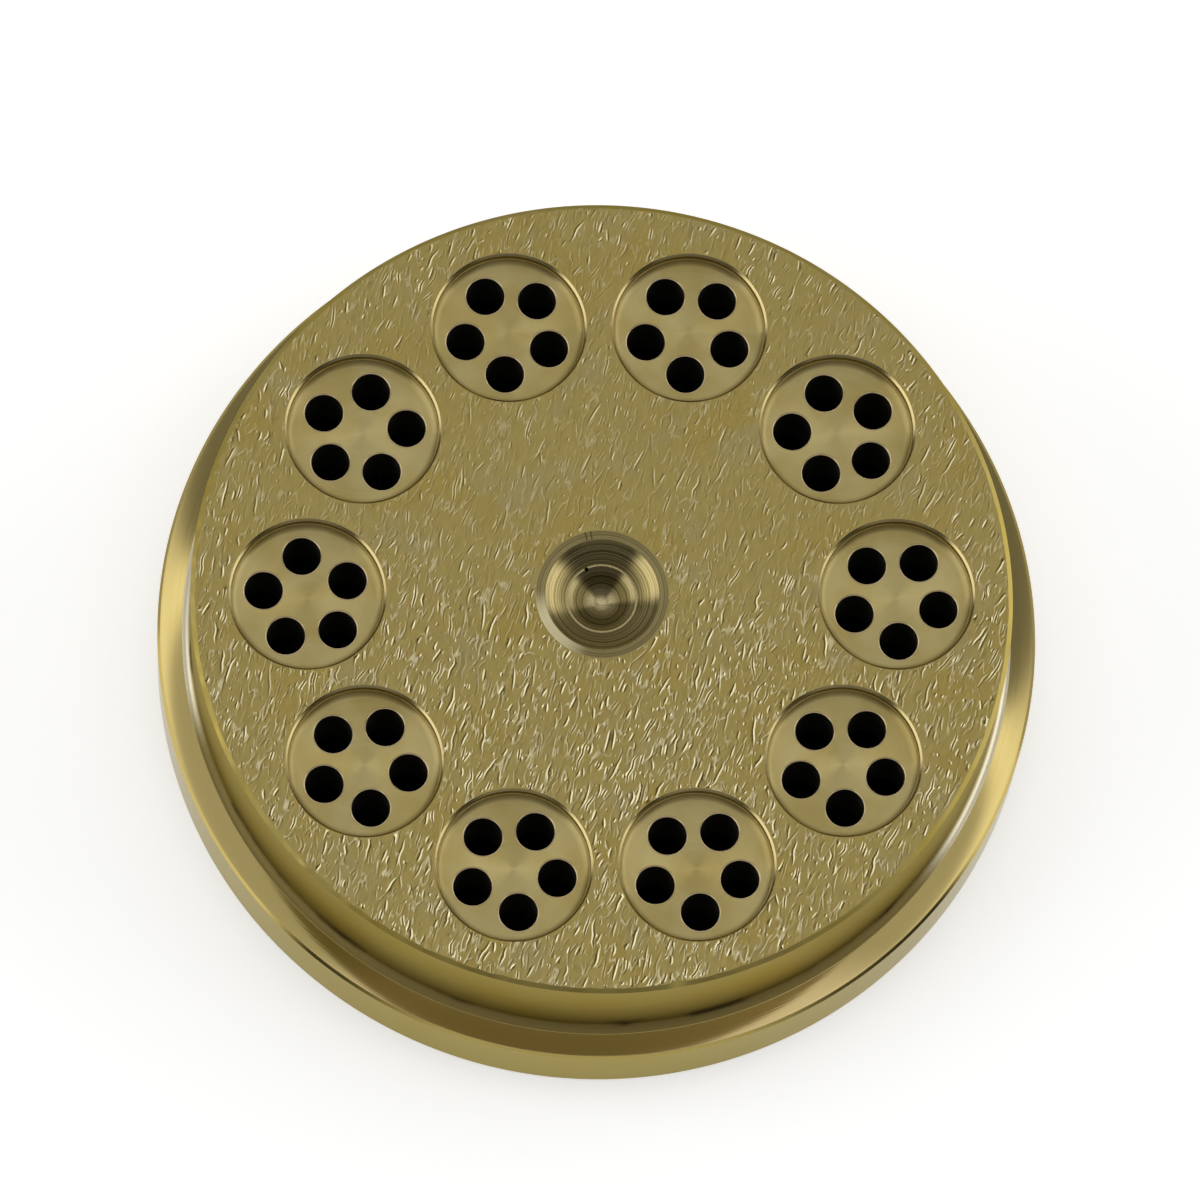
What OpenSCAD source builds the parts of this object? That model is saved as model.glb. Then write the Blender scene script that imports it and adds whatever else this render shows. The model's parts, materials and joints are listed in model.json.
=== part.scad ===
// Pasta extrusion die for hollow pasta: a flanged brass disc with a ring of recessed cores.
// It lies on its outlet face at z = 0. Dough enters the feed face at the top.

/* [Body] */
// Diameter of the spigot that enters the barrel
spigot_d = 74; // [70:0.5:90]
// Height from the outlet face to the feed face
body_h = 20; // [18:0.5:30]
// Height of the clamping flange
flange_h = 8; // [5:0.5:10]
// How far the flange stands out past the spigot
flange_lip = 3; // [2:0.25:6]
// Corner radius where the spigot meets the flange
root_r = 0.8; // [0.3:0.1:1.5]
// Chamfer on both edges of the flange
flange_chamfer = 0.25; // [0.1:0.05:1]
// Width of the broken edge round the feed face
face_edge_w = 0.4; // [0.2:0.05:1]
// Height of the broken edge round the feed face
face_edge_h = 0.2; // [0.1:0.05:0.6]

/* [Screw centre] */
// Outer diameter of the hollow that centres the feed screw's tip
centre_d = 12; // [10:0.1:16]
// Width of the bevel round its mouth
centre_rim_w = 0.85; // [0.3:0.05:1.2]
// Depth of the bevel round its mouth
centre_rim_h = 0.1; // [0.1:0.05:0.5]
// Depth at which its spherical bowl ends
centre_bowl_h = 1.4; // [1:0.1:2.5]
// Diameter at which its spherical bowl ends
centre_ring_d = 6.4; // [5:0.1:7.5]
// Width of the narrow ledge inside the bowl
centre_ledge_w = 0.15; // [0.05:0.05:0.4]
// Width of the sloping step inside the ledge
centre_step_w = 0.5; // [0.2:0.05:0.8]
// Depth of the sloping step
centre_step_h = 0.4; // [0.2:0.05:0.8]
// Depth of the drill point at the bottom
centre_cone_h = 1.45; // [0.2:0.05:2]

/* [Cores] */
// Number of cores
core_count = 10; // [4:1:11]
// Pitch circle of the cores
core_pcd = 53; // [50:0.5:56]
// How deep the cores sit below the feed face
recess_h = 1.4; // [0.6:0.1:3]
// Chamfer round the mouth of each seat
mouth_chamfer = 0.2; // [0.1:0.05:0.4]
// Thickness of a core's perforated plate
core_plate_h = 6.5; // [4:0.5:8]
// Radius of the hollow corner between a core's top and its lip
core_lip_r = 0.6; // [0.3:0.05:0.9]
// Width of the flat on top of that lip
core_lip_w = 0.08; // [0.05:0.01:0.2]
// Gap all round between a core and its seat
core_clearance = 0.02; // [0.01:0.005:0.05]
// Width of the shoulder that a core stands on
shoulder_w = 0.9; // [0.5:0.1:1.2]
// Feed holes in each core
feed_count = 5; // [3:1:6]
// Diameter of a feed hole
feed_d = 3.5; // [2.5:0.1:4]
// Chamfer round the mouth of a feed hole
feed_chamfer = 0.1; // [0.05:0.05:0.2]
// Metal between the pin and the feed holes
pin_web = 0.25; // [0.15:0.05:0.5]
// Room between the feed holes and the chamber's wall
chamber_margin = 0.25; // [0.1:0.05:0.5]

/* [Pasta tube] */
// Bore of the tube, which is the diameter of the core's pin
tube_bore = 4; // [3:0.1:5]
// Wall of the tube, which is the gap round the pin
tube_wall = 1.3; // [0.8:0.1:1.6]
// Length of the straight outlet
land_h = 5; // [3:0.5:8]
// Slope of the throat, measured from the outlet's axis
throat_angle = 45; // [30:5:60]

/* [Hidden] */
$fn = 96;
// Overrun of every cut past the face that it opens
cut = 1;
spigot_r = spigot_d / 2;
flange_r = spigot_r + flange_lip;

centre_r = centre_d / 2;
bowl_top_r = centre_r - centre_rim_w;
ring_r = centre_ring_d / 2;
step_r = ring_r - centre_ledge_w;
floor_r = step_r - centre_step_w;
// The bowl is part of a sphere through its top edge and its ring; its centre lies above the face
bowl_z = (pow(bowl_top_r, 2) + pow(centre_rim_h, 2) - pow(ring_r, 2) - pow(centre_bowl_h, 2))
    / (2 * (centre_bowl_h - centre_rim_h));
bowl_r = norm([bowl_top_r, bowl_z + centre_rim_h]);
// The bevel's cut is this many times its visible size, so that it crosses the bowl's surface
rim_run = 1.25;

pin_r = tube_bore / 2;
outlet_r = pin_r + tube_wall;
feed_r = feed_d / 2;
feed_pitch_r = pin_r + pin_web + feed_r;
chamber_r = feed_pitch_r + feed_r + chamber_margin;
seat_r = chamber_r + shoulder_w;
core_r = seat_r - core_clearance;
dish_r = core_r - core_lip_w - core_lip_r;
core_top_z = body_h - recess_h;
seat_z = core_top_z - core_plate_h;
throat_h = (chamber_r - outlet_r) / tan(throat_angle);

// How far each core happens to be turned in its seat
core_turns = [57, 33, 49, 49, 7, 25, 62, 60, 58, 56];

body_colour = [0.62, 0.55, 0.35];
core_colour = [0.68, 0.61, 0.40];

function core_name(i) = str("core_", i < 9 ? "0" : "", i + 1);

// Outline of the blank, from the axis outwards
module body_section() {
    polygon([
        [0, 0],
        [flange_r - flange_chamfer, 0],
        [flange_r, flange_chamfer],
        [flange_r, flange_h - flange_chamfer],
        [flange_r - flange_chamfer, flange_h],
        [spigot_r, flange_h],
        [spigot_r, body_h - face_edge_h],
        [spigot_r - face_edge_w, body_h],
        [0, body_h]
    ]);
    difference() {
        translate([spigot_r, flange_h]) square(root_r);
        translate([spigot_r + root_r, flange_h + root_r]) circle(root_r);
    }
}

// Hollow in the middle of the feed face, taken from the blank
module screw_centre() {
    translate([0, 0, body_h]) {
        intersection() {
            translate([0, 0, bowl_z]) sphere(bowl_r);
            translate([0, 0, -centre_bowl_h]) cylinder(h = centre_bowl_h + cut, r = centre_r);
        }
        rotate_extrude() polygon([
            [0, centre_rim_h],
            [centre_r + centre_rim_w, centre_rim_h],
            [centre_r - rim_run * centre_rim_w, -rim_run * centre_rim_h],
            [0, -rim_run * centre_rim_h]
        ]);
        rotate_extrude() polygon([
            [0, 0],
            [step_r, 0],
            [step_r, -centre_bowl_h],
            [floor_r, -centre_bowl_h - centre_step_h],
            [0, -centre_bowl_h - centre_step_h - centre_cone_h]
        ]);
    }
}

// Stepped bore for one core: outlet, throat, chamber, shoulder and mouth
module core_seat() {
    rotate_extrude() polygon([
        [0, -cut],
        [outlet_r, -cut],
        [outlet_r, land_h],
        [chamber_r, land_h + throat_h],
        [chamber_r, seat_z],
        [seat_r, seat_z],
        [seat_r, body_h - mouth_chamfer],
        [seat_r + mouth_chamfer + cut, body_h + cut],
        [0, body_h + cut]
    ]);
}

module at_core(i) {
    rotate(i * 360 / core_count) translate([core_pcd / 2, 0, 0]) rotate(-i * 360 / core_count) children();
}

module feed_hole() {
    rotate_extrude() polygon([
        [0, seat_z - cut],
        [feed_r, seat_z - cut],
        [feed_r, core_top_z - feed_chamfer],
        [feed_r + feed_chamfer + cut, core_top_z + cut],
        [0, core_top_z + cut]
    ]);
}

module die_body() {
    color(body_colour) difference() {
        rotate_extrude() body_section();
        screw_centre();
        for (i = [0 : core_count - 1]) at_core(i) core_seat();
    }
}

// Half of a core's outline: the pin, the plate and the lip that rises round its dished top
module core_section() {
    polygon([
        [0, 0],
        [pin_r, 0],
        [pin_r, seat_z],
        [core_r, seat_z],
        [core_r, core_top_z],
        [0, core_top_z]
    ]);
    difference() {
        translate([dish_r, core_top_z]) square([core_r - dish_r, core_lip_r]);
        translate([dish_r, core_top_z + core_lip_r]) circle(core_lip_r);
    }
}

// Perforated plate on the shoulder, with the pin that forms the tube's bore hanging from it
module core(i) {
    color(core_colour) at_core(i) difference() {
        rotate_extrude() core_section();
        for (k = [0 : feed_count - 1])
            rotate(core_turns[i % len(core_turns)] + k * 360 / feed_count)
                translate([feed_pitch_r, 0, 0])
                    feed_hole();
    }
}

die_body();
for (i = [0 : core_count - 1])
    core(i);
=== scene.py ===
"""Looks of a pasta extrusion die: its scored brass body, turned cores, floor, light and camera."""
import json
import math

import bmesh
import bpy
import numpy as np
from mathutils import Matrix, Vector
from mathutils.geometry import delaunay_2d_cdt


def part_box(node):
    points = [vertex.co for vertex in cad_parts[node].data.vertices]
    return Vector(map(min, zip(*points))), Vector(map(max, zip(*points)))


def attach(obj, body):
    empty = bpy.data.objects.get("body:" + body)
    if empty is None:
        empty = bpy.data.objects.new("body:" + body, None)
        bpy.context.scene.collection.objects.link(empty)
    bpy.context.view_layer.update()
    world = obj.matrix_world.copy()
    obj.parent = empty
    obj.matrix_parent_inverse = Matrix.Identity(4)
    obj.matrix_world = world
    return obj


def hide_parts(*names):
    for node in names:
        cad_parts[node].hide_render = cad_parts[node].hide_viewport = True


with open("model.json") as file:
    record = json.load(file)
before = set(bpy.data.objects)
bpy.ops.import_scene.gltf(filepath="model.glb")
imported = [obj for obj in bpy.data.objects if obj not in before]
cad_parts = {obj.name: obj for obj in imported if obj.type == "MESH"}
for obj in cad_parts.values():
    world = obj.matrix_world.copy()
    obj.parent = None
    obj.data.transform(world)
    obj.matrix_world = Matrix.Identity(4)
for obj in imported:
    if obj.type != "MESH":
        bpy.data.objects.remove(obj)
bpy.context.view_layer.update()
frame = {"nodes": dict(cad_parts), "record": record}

# Sizes are in millimetres up to the finished mesh
MM = 0.001

# Sizes that the frame gives
mounts = {mount["name"]: mount for mount in frame["record"]["mounts"]}
core_names = sorted(name for name in frame["nodes"] if name.startswith("core_"))
FLANGE_R = mounts["flange_rim"]["dims"]["r_mm"]
SPIGOT_R = mounts["spigot"]["dims"]["r_mm"]
SHOULDER_Z = mounts["flange_shoulder"]["pos_m"][2] / MM
FACE_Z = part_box("die_body")[1].z / MM
CORE_LOW, CORE_HIGH = (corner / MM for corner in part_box(core_names[0]))
CORE_R = (CORE_HIGH.x - CORE_LOW.x) / 2
CORE_CENTRES = [sum(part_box(name), Vector()).xy / 2 / MM for name in core_names]

# Smaller sizes of the cores and of the body, the same as in the part's source
CORE_LIP_R = 0.6
CORE_TOP_Z = CORE_HIGH.z - CORE_LIP_R
CORE_PLATE_H = 6.5
CORE_CLEARANCE = 0.02
FACE_EDGE_W = 0.4
FACE_EDGE_H = 0.2
FACE_R = SPIGOT_R - FACE_EDGE_W
ROOT_R = 0.8
FLANGE_CHAMFER = 0.25
CENTRE_R = 6.0
CENTRE_RIM_W = 0.85
CENTRE_RIM_H = 0.1
BOWL_TOP_R = CENTRE_R - CENTRE_RIM_W
BOWL_END_R = 3.2
BOWL_END_H = 1.4
STEP_R = 3.05
FLOOR_R = 2.55
FLOOR_H = 1.8
CONE_H = 3.25
SEAT_R = CORE_R + CORE_CLEARANCE
SEAT_SHOULDER_W = 0.9
MOUTH_CHAMFER = 0.2
MOUTH_R = SEAT_R + MOUTH_CHAMFER
SEAT_Z = CORE_TOP_Z - CORE_PLATE_H
CHAMBER_R = SEAT_R - SEAT_SHOULDER_W
OUTLET_R = 3.3
LAND_H = 5.0
THROAT_TOP_Z = LAND_H + CHAMBER_R - OUTLET_R

# Segments round each turned surface, and steps along the wall, the root, the bowl and the cone
RIM_SEGMENTS = 480
SEAT_SEGMENTS = 72
CENTRE_SEGMENTS = 144
WALL_STEPS = 3
ROOT_STEPS = 8
BOWL_STEPS = 10
CONE_SHARES = (0.66, 0.33, 0)

# Places of the unwrapped patches in the unit square: a centre and a radius, or a low and a high corner
FACE_PLACE = (0.335, 0.665, 0.325)
BASE_PLACE = (0.83, 0.83, 0.16)
RIM_PLACE = (0.01, 0.01, 0.99, 0.10)
SEAT_PLACE = (0.68, 0.12, 0.99, 0.66)
# Share of its strip that each seat fills
SEAT_FILL = 0.9

# Materials of the body, in the order of its slots
SCORED, TURNED, SEAT, CENTRE = range(4)

rng = np.random.default_rng(53)


def smooth(low, high, value):
    """Rises smoothly from 0 at low to 1 at high."""
    t = np.clip((value - low) / (high - low), 0, 1)
    return t * t * (3 - 2 * t)


class Patches:
    """A mesh gathered patch by patch: points with lift, painted light and unwrapped place, faces with a
    slot.
    """

    def __init__(self):
        self.points = []
        self.lifts = []
        self.painted_lights = []
        self.places = []
        self.faces = []
        self.slots = []

    def add(self, points, faces, places, slot, lifts=None, painted_lights=None):
        start = len(self.points)
        plain = [0.0] * len(points)
        self.points.extend(points)
        self.lifts.extend(plain if lifts is None else lifts)
        self.painted_lights.extend(plain if painted_lights is None else painted_lights)
        self.places.extend(places)
        self.faces.extend([start + corner for corner in face] for face in faces)
        self.slots.extend([slot] * len(faces))


def arc(centre, radius, start, end, steps):
    """Points on an arc, as (r, z) pairs, with both ends."""
    angles = np.radians(np.linspace(start, end, steps + 1))
    return [(centre[0] + radius * math.cos(a), centre[1] + radius * math.sin(a)) for a in angles]


def revolve(patches, profile, segments, centre, place, slot, ring_scale=None):
    """Turns (r, z) points about the upright axis through centre and unwraps them into a strip."""
    low_u, low_v, high_u, high_v = place
    lengths = [math.dist(a, b) for a, b in zip(profile, profile[1:])]
    heights = np.concatenate([[0], np.cumsum(lengths)]) / sum(lengths)
    points, places, faces = [], [], []
    for row, (r, z) in enumerate(profile):
        for column in range(segments + 1):
            share = (column % segments) / segments
            scale = ring_scale[row][column % segments] if ring_scale else 1.0
            x = centre[0] + r * scale * math.cos(2 * math.pi * share)
            y = centre[1] + r * scale * math.sin(2 * math.pi * share)
            points.append((x, y, z))
            u = low_u + (high_u - low_u) * column / segments
            places.append((u, low_v + (high_v - low_v) * heights[row]))
    width = segments + 1
    for row in range(len(profile) - 1):
        for column in range(segments):
            a = row * width + column
            faces.append((a, a + 1, a + 1 + width, a + width))
    patches.add(points, faces, places, slot)


def circle(centre, radii):
    """Points round a centre at the given radii, one for each segment."""
    angles = np.arange(len(radii)) * 2 * math.pi / len(radii)
    return np.c_[centre[0] + radii * np.cos(angles), centre[1] + radii * np.sin(angles)]


# Worn edge of the feed face: number of waves round it, the turns that one may have, and its depth
EDGE_WAVES = 16
EDGE_TURNS = (12, 150)
EDGE_WEAR = 0.016
# At the right the wear has this share of its depth, and it grows to all of it between these places along X,
# as shares of the radius
EDGE_CALM = 0.35
EDGE_GROWTH = (0.1, -0.7)
# Angle, width and depth of the nicks in that edge
EDGE_NICKS = [(146, 0.9, 0.30), (-80, 0.6, 0.25), (-152, 0.5, 0.14), (171, 0.4, 0.16), (38, 0.5, 0.12)]


def worn_edge():
    """Radii of the feed face's outer edge."""
    angles = np.arange(RIM_SEGMENTS) * 2 * math.pi / RIM_SEGMENTS
    radii = np.full(RIM_SEGMENTS, FACE_R)
    rough = EDGE_CALM + (1 - EDGE_CALM) * smooth(*EDGE_GROWTH, np.cos(angles))
    for _ in range(EDGE_WAVES):
        turns = rng.integers(*EDGE_TURNS)
        radii -= EDGE_WEAR * rough * np.cos(turns * angles + rng.uniform(0, 2 * math.pi))
    for degrees, width, depth in EDGE_NICKS:
        away = (angles - math.radians(degrees) + math.pi) % (2 * math.pi) - math.pi
        radii -= depth * np.exp(-((away * FACE_R / width) ** 2))
    return radii


EDGE_RADII = worn_edge()

# Scores in the feed face. Each profile lists lines across a score: offset to its left, height and painted
# light, a painted highlight above 0 and painted shade below it
PROFILES = {
    "score": [(0.24, 0, 0), (0.13, -0.045, -1.5), (0.02, 0.035, 1), (-0.07, 0.02, 0.5), (-0.14, 0, 0)],
    "twin": [(0.26, 0, 0), (0.15, 0.03, 0.85), (0.04, -0.045, -1.6), (-0.07, 0.035, 1), (-0.16, 0, 0)],
    "faint": [(0.14, 0, -0.35), (0.03, 0.02, 0.5), (-0.09, 0, -0.1)],
}
# Chances of the three profiles, and of a score that rises at its right or at its left
PROFILE_CHANCES = (0.55, 0.15, 0.3)
SIDES = (1, -1)
SIDE_CHANCES = (0.65, 0.35)
# Distance of the points along a score, gaps between scores and to a rim, and number of tries
STROKE_STEP = 0.38
STROKE_GAP = 0.28
RIM_GAP = 0.06
STROKE_DARTS = 60000
# Lean of the scores in degrees from +X and its spread; it falls at the far right and grows at the left
STROKE_LEAN = 73
LEAN_SPREAD = 9
RIGHT_LEAN = -10
RIGHT_LEAN_FROM = (18, 38)
RIGHT_LEAN_SKEW = 0.6
LEFT_LEAN = 4
LEFT_LEAN_FROM = (-15, -32)
# Lengths of the scores with their chances and spread, and spreads of their bend and waves
STROKE_LENGTHS = (0.5, 1.2, 2.5)
LENGTH_CHANCES = (0.2, 0.45, 0.35)
LENGTH_SPREAD = (0.75, 1.35)
BEND_SPREAD = 0.15
BEND_MIDDLE = 0.08
WAVE_SPREAD = 0.05
WAVE_LENGTH = 1.5
# Strength of the scores: in the upper middle, added below and added near the edge
CALM_WEIGHT = 0.42
LOWER_WEIGHT = 0.58
EDGE_WEIGHT = 0.25
# Where the lower part begins along Y, loses strength along X, and where the edge begins along the radius
LOWER_FROM = (9, -9)
SIDES_FROM = (13, 24)
SIDES_LOSS = 0.45
EDGE_FROM = (29, 35)
# Spread of that strength from score to score, and how it follows the weight of the place
STRENGTH_SPREAD = (0.4, 1.35)
STRENGTH_POWER = 0.8
# A score fades towards its ends from this height in its middle, and its width has a fixed and a fading share
TAPER_TOP = 1.12
FIXED_WIDTH = 0.55
FADING_WIDTH = 0.45
# Step of the points between the scores, and their distance from a rim
GRID_STEP = 0.75
GRID_GAP = 0.2
# Triangles are kept inside the outer loop only, and points closer than this are one
INSIDE_LOOP = 1
SAME_POINT = 1e-6


def stroke_weight(x, y):
    """How strong the scores are at a place: weak in the upper middle, strong below and near the edge."""
    lower = smooth(*LOWER_FROM, y) * (1 - SIDES_LOSS * smooth(*SIDES_FROM, abs(x)))
    edge = smooth(*EDGE_FROM, math.hypot(x, y))
    return float(CALM_WEIGHT + LOWER_WEIGHT * lower + EDGE_WEIGHT * edge * (1 - lower))


def stroke_lean(x, y):
    """Direction of the scores at a place, in degrees from +X."""
    right = RIGHT_LEAN * smooth(*RIGHT_LEAN_FROM, x + RIGHT_LEAN_SKEW * y)
    return STROKE_LEAN + right + LEFT_LEAN * smooth(*LEFT_LEAN_FROM, x)


def stroke_line(x, y, lean, length, bend, wave, phase):
    """Points along one wavy score, the direction to its left at each, and their place along it."""
    steps = max(2, round(length / STROKE_STEP))
    t = np.linspace(-0.5, 0.5, steps + 1)
    ripple = wave * np.sin(2 * math.pi * t * length / WAVE_LENGTH + phase)
    aside = bend * length * (t * t - BEND_MIDDLE) + ripple
    along = np.array([math.cos(lean), math.sin(lean)])
    left = np.array([-along[1], along[0]])
    line = np.array([x, y]) + np.outer(t * length, along) + np.outer(aside, left)
    tangents = np.gradient(line, axis=0)
    lefts = np.c_[-tangents[:, 1], tangents[:, 0]]
    return line, lefts / np.linalg.norm(lefts, axis=1)[:, None], t


def clear_of_cores(points, radius):
    """Which points lie further than radius from the axis of every core."""
    away = [np.hypot(points[..., 0] - x, points[..., 1] - y) for x, y in CORE_CENTRES]
    return np.min(away, axis=0) > radius


def on_face(points, margin):
    """Which points lie on the scored face, clear of its rims."""
    inside = np.hypot(points[..., 0], points[..., 1])
    turns = np.arctan2(points[..., 1], points[..., 0]) / (2 * math.pi) % 1
    edge = np.interp(turns * RIM_SEGMENTS, np.arange(RIM_SEGMENTS + 1), [*EDGE_RADII, EDGE_RADII[0]])
    good = (inside < edge - margin) & (inside > CENTRE_R + margin)
    return good & clear_of_cores(points, MOUTH_R + margin)


def longest_run(good):
    """Start and end of the longest unbroken run of true values."""
    best, start = (0, 0), 0
    for i, value in enumerate([*good, False]):
        if not value:
            best = max(best, (start, i), key=lambda run: run[1] - run[0])
            start = i + 1
    return best


class Crowding:
    """Remembers where scores lie, so that the next one keeps clear of them."""

    def __init__(self, gap):
        self.gap = gap
        self.cells = {}

    def key(self, point):
        return int(point[0] // self.gap), int(point[1] // self.gap)

    def near(self, point):
        column, row = self.key(point)
        for i in (-1, 0, 1):
            for j in (-1, 0, 1):
                for other in self.cells.get((column + i, row + j), ()):
                    if math.dist(point, other) < self.gap:
                        return True
        return False

    def take(self, points):
        for point in points:
            self.cells.setdefault(self.key(point), []).append(point)


def make_stroke(crowding):
    """One score as rows of (x, y, lift, painted light) across it, or None where there is no room."""
    r = FACE_R * math.sqrt(rng.uniform())
    angle = rng.uniform(0, 2 * math.pi)
    x, y = r * math.cos(angle), r * math.sin(angle)
    weight = stroke_weight(x, y)
    if rng.uniform() > weight or crowding.near((x, y)):
        return None
    lean = math.radians(stroke_lean(x, y) + rng.normal(0, LEAN_SPREAD))
    length = rng.choice(STROKE_LENGTHS, p=LENGTH_CHANCES) * rng.uniform(*LENGTH_SPREAD)
    bend = rng.normal(0, BEND_SPREAD)
    wave = abs(rng.normal(0, WAVE_SPREAD))
    phase = rng.uniform(0, 2 * math.pi)
    strength = weight**STRENGTH_POWER * rng.uniform(*STRENGTH_SPREAD)
    kind = rng.choice(list(PROFILES), p=PROFILE_CHANCES)
    side = rng.choice(SIDES, p=SIDE_CHANCES)
    line, lefts, t = stroke_line(x, y, lean, length, bend, wave, phase)
    taper = np.clip(TAPER_TOP - (2 * t) ** 2, 0, 1)
    profile = np.array(PROFILES[kind])
    spread = side * profile[:, 0][None] * (FIXED_WIDTH + FADING_WIDTH * taper)[:, None]
    across = line[:, None] + spread[..., None] * lefts[:, None]
    first, last = longest_run(on_face(across, RIM_GAP).all(axis=1))
    if last - first < 2 or any(crowding.near(point) for point in line[first:last]):
        return None
    crowding.take(line[first:last])
    lifts = strength * np.outer(taper, profile[:, 1])
    # Painted light along the score: a painted highlight above 0 and painted shade below it
    painted_lights = strength * np.outer(taper, profile[:, 2])
    return np.dstack([across, lifts, painted_lights])[first:last]


def grid_points(crowding):
    """Points in a triangular grid that fill the face between the scores."""
    found = []
    count = int(FACE_R / GRID_STEP) + 1
    for row in range(-count, count + 1):
        for column in range(-count, count + 1):
            x = (column + 0.5 * (row % 2)) * GRID_STEP
            y = row * GRID_STEP * math.sqrt(0.75)
            if not crowding.near((x, y)):
                found.append((x, y))
    found = np.array(found)
    return found[on_face(found, GRID_GAP)]


def loop_edges(loops):
    """Edges along closed loops whose points follow one another in a table."""
    edges, start = [], 0
    for loop in loops:
        edges += [(start + i, start + (i + 1) % len(loop)) for i in range(len(loop))]
        start += len(loop)
    return edges


def stroke_edges(strokes, start):
    """Edges along the inner lines of the scores, whose points follow in the table from start on."""
    edges = []
    for stroke in strokes:
        steps, lines = stroke.shape[:2]
        for line in range(1, lines - 1):
            edges += [(start + i * lines + line, start + (i + 1) * lines + line) for i in range(steps - 1)]
        start += steps * lines
    return edges


def triangulate(points, edges):
    """Triangles between the points inside the first loop, with the points that each corner comes from."""
    vectors = [Vector(point) for point in points]
    corners, _, faces, sources, _, _ = delaunay_2d_cdt(vectors, edges, [], INSIDE_LOOP, SAME_POINT, True)
    return np.array(corners), np.array(faces), sources


def flat_rows(points):
    """Table rows of points that have neither lift nor painted light."""
    return np.c_[points, np.zeros((len(points), 2))]


def face_patch(patches):
    """The scored feed face, as a triangle mesh between its edge, the mouths and the centre."""
    crowding = Crowding(STROKE_GAP)
    darts = (make_stroke(crowding) for _ in range(STROKE_DARTS))
    strokes = [stroke for stroke in darts if stroke is not None]
    loops = [circle((0, 0), EDGE_RADII), circle((0, 0), np.full(CENTRE_SEGMENTS, CENTRE_R))]
    loops += [circle(centre, np.full(SEAT_SEGMENTS, MOUTH_R)) for centre in CORE_CENTRES]
    edges = loop_edges(loops) + stroke_edges(strokes, sum(map(len, loops)))
    rows = [flat_rows(loop) for loop in loops]
    rows += [stroke.reshape(-1, 4) for stroke in strokes]
    rows.append(flat_rows(grid_points(crowding)))
    table = np.concatenate(rows)
    corners, faces, sources = triangulate(table[:, :2], edges)
    values = [table[source[0], 2:] if source else (0.0, 0.0) for source in sources]
    kept = faces[outside_hollows(corners[faces].mean(axis=1)) & ~past_edge(faces, sources, loops[0])]
    u, v, radius = FACE_PLACE
    places = np.array([u, v]) + corners * radius / SPIGOT_R
    points = np.c_[corners, np.full(len(corners), FACE_Z)]
    lifts, painted_lights = np.array(values).T
    patches.add(points.tolist(), kept.tolist(), places.tolist(), SCORED, lifts.tolist(), painted_lights.tolist())


def past_edge(faces, sources, edge):
    """Which triangles fill a hollow of the worn edge from outside: their corners run clockwise along it."""
    turns = np.array([source[0] if source and source[0] < len(edge) else -1 for source in sources])
    order = np.sort(turns[faces], axis=1)
    first, second, third = (np.array(edge)[order[:, i]] for i in range(3))
    along, across = second - first, third - first
    area = along[:, 0] * across[:, 1] - along[:, 1] * across[:, 0]
    return (order[:, 0] >= 0) & (area < 0)


def outside_hollows(points):
    """Which triangle centres lie outside the mouths and the centre."""
    good = np.hypot(points[:, 0], points[:, 1]) > CENTRE_R * math.cos(math.pi / CENTRE_SEGMENTS)
    return good & clear_of_cores(points, MOUTH_R * math.cos(math.pi / SEAT_SEGMENTS))


def base_patch(patches):
    """The outlet face, flat, with its ten outlets."""
    loops = [circle((0, 0), np.full(RIM_SEGMENTS, FLANGE_R - FLANGE_CHAMFER))]
    loops += [circle(centre, np.full(SEAT_SEGMENTS, OUTLET_R)) for centre in CORE_CENTRES]
    corners, faces, _ = triangulate(np.concatenate(loops), loop_edges(loops))
    good = clear_of_cores(corners[faces].mean(axis=1), OUTLET_R * math.cos(math.pi / SEAT_SEGMENTS))
    u, v, radius = BASE_PLACE
    places = np.array([u, v]) + corners * radius / FLANGE_R
    points = np.c_[corners, np.zeros(len(corners))]
    patches.add(points.tolist(), faces[good].tolist(), places.tolist(), TURNED)


def rim_patch(patches):
    """Everything turned round the outside: bevel, spigot wall, root fillet, shoulder and flange."""
    wall_z = np.linspace(FACE_Z - FACE_EDGE_H, SHOULDER_Z + ROOT_R, WALL_STEPS + 1)
    profile = [(FACE_R, FACE_Z), (SPIGOT_R, FACE_Z - FACE_EDGE_H)]
    profile += [(SPIGOT_R, z) for z in wall_z[1:-1]]
    profile += arc((SPIGOT_R + ROOT_R, SHOULDER_Z + ROOT_R), ROOT_R, 180, 270, ROOT_STEPS)
    profile += [
        (FLANGE_R - FLANGE_CHAMFER, SHOULDER_Z),
        (FLANGE_R, SHOULDER_Z - FLANGE_CHAMFER),
        (FLANGE_R, FLANGE_CHAMFER),
        (FLANGE_R - FLANGE_CHAMFER, 0),
    ]
    round_rows = [np.ones(RIM_SEGMENTS)] * (len(profile) - 1)
    revolve(patches, profile, RIM_SEGMENTS, (0, 0), RIM_PLACE, TURNED, [EDGE_RADII / FACE_R, *round_rows])


def seat_patches(patches):
    """The ten stepped bores, from mouth to outlet."""
    profile = [
        (MOUTH_R, FACE_Z),
        (SEAT_R, FACE_Z - MOUTH_CHAMFER),
        (SEAT_R, SEAT_Z),
        (CHAMBER_R, SEAT_Z),
        (CHAMBER_R, THROAT_TOP_Z),
        (OUTLET_R, LAND_H),
        (OUTLET_R, 0),
    ]
    low_u, low_v, high_u, high_v = SEAT_PLACE
    strip = (high_v - low_v) / len(CORE_CENTRES)
    for i, centre in enumerate(CORE_CENTRES):
        place = (low_u, low_v + strip * i, high_u, low_v + strip * (i + SEAT_FILL))
        revolve(patches, profile, SEAT_SEGMENTS, centre, place, SEAT)


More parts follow.
